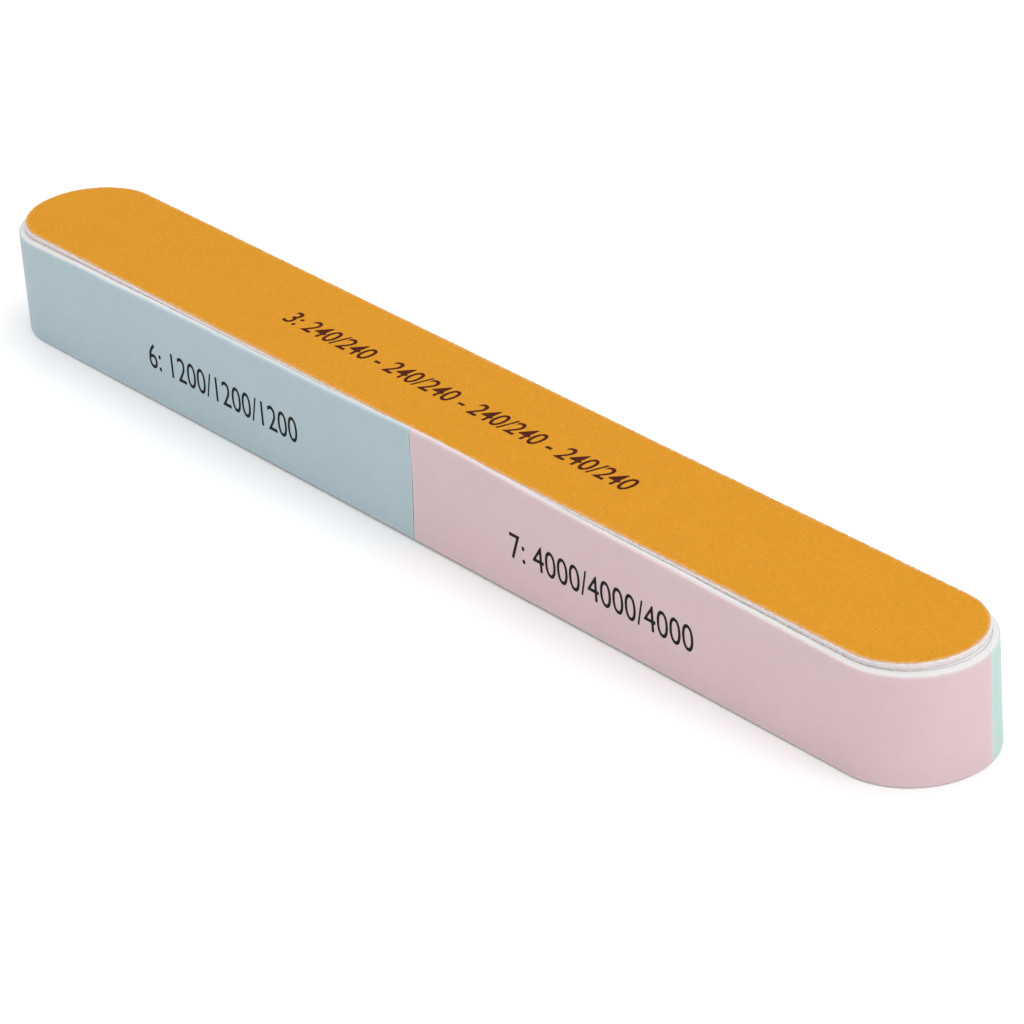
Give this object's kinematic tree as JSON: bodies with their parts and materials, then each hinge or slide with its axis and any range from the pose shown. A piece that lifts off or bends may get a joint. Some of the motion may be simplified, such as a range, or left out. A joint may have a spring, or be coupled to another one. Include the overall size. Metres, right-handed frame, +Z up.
{
  "type": "nail buffer block",
  "caption": "Long round-ended hand block for filing, smoothing and shining nails, with abrasive sheets on its broad faces and cushioned buffing strips wrapped round its edge.",
  "frame": {"origin": "middle of the underside, at the height of the surface the block lies on", "axes": "+X along the block towards the end where side 7 meets side 4, -Y towards the edge with sides 6 and 7, +Z up out of side 3"},
  "size_m": [0.178, 0.02, 0.0153],
  "materials": {
    "white_foam": "soft closed-cell foam, matt, fine cells on the cut edges",
    "backing_paper": "uncoated paper with a torn fibrous cut edge",
    "adhesive_film": "thin clear-to-milky pressure-sensitive glue film",
    "coarse_grit": "mineral grains in resin, coarse and charcoal, matt",
    "medium_grit": "mineral grains in resin, medium and slate grey, matt",
    "fine_grit": "mineral grains in resin, fine and orange, matt with a slight sparkle",
    "mint_film": "micro-grit film, satin matt, mint green",
    "lilac_film": "micro-grit film, satin matt, pale lilac",
    "blue_grey_film": "smooth buffing film, satin matt, blue-grey",
    "pink_film": "smooth shine film, satin matt, pale pink"
  },
  "bodies": {
    "root": {"foam_core": "white_foam", "side_1_adhesive": "adhesive_film", "side_1_paper": "backing_paper", "side_1_grit": "coarse_grit", "side_2_adhesive": "adhesive_film", "side_2_paper": "backing_paper", "side_2_grit": "medium_grit", "side_3_adhesive": "adhesive_film", "side_3_paper": "backing_paper", "side_3_grit": "fine_grit", "side_4_adhesive": "adhesive_film", "side_4_cushion": "white_foam", "side_4_film": "mint_film", "side_5_adhesive": "adhesive_film", "side_5_cushion": "white_foam", "side_5_film": "lilac_film", "side_6_adhesive": "adhesive_film", "side_6_cushion": "white_foam", "side_6_film": "blue_grey_film", "side_7_adhesive": "adhesive_film", "side_7_cushion": "white_foam", "side_7_film": "pink_film"}
  },
  "joints": []
}
